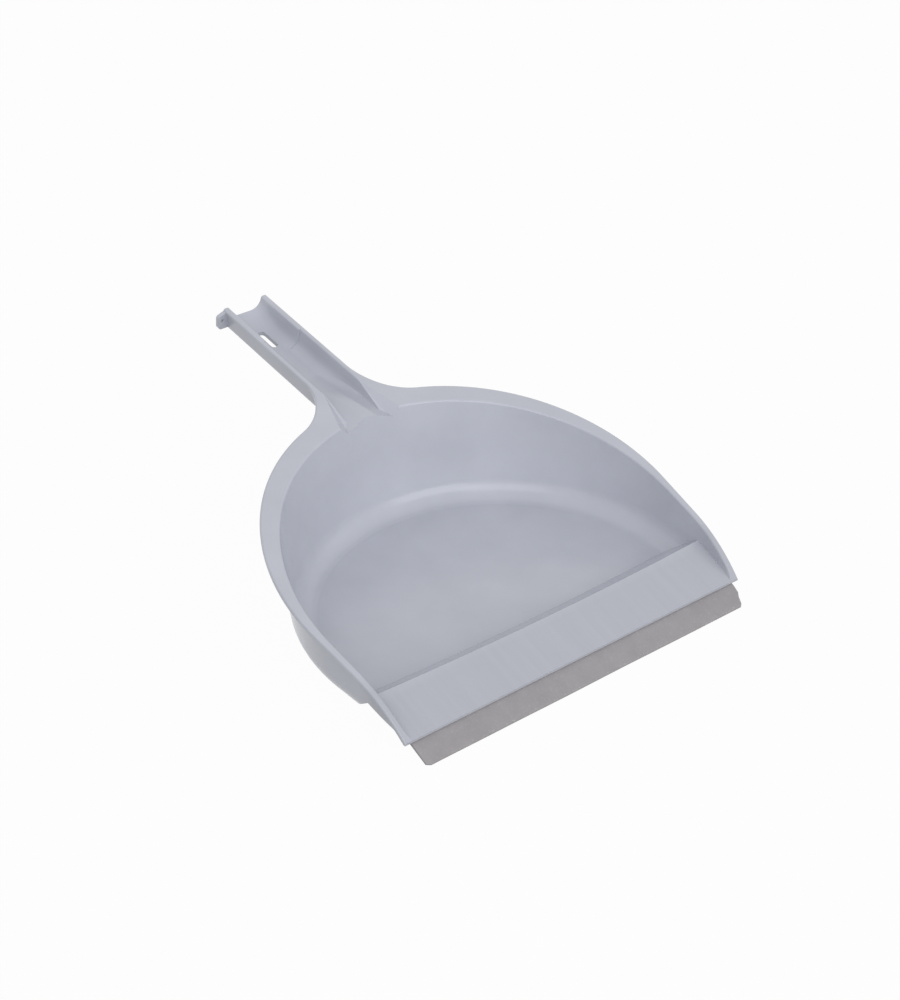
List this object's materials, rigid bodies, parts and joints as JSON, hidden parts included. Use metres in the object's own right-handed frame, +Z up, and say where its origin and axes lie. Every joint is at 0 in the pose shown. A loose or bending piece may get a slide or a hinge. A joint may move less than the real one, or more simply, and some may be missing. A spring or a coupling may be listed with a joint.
{
  "type": "dustpan",
  "caption": "Hand dustpan: a moulded round-backed tray with a trough-shaped handle and a hanging slot, and a rubber lip held by its bead in a rail under the front edge.",
  "frame": {"origin": "middle of the footprint, on the floor that the pan lies on", "axes": "+Y from the lip towards the handle's end, +Z up, +X across the pan"},
  "size_m": [0.2326, 0.3162, 0.0818],
  "materials": {
    "grey_plastic": "satin moulded",
    "lip_rubber": "matte"
  },
  "bodies": {
    "pan": {"pan": "grey_plastic"},
    "lip": {"rubber_lip": "lip_rubber"}
  },
  "joints": [
    {"name": "lip_flex", "type": "hinge", "parent": "pan", "child": "lip", "pos_m": [0, -0.14285, 0.0065], "axis": [-1, 0, 0], "range_deg": [-8, 12], "stiffness_Nm_per_rad": 0.5}
  ]
}
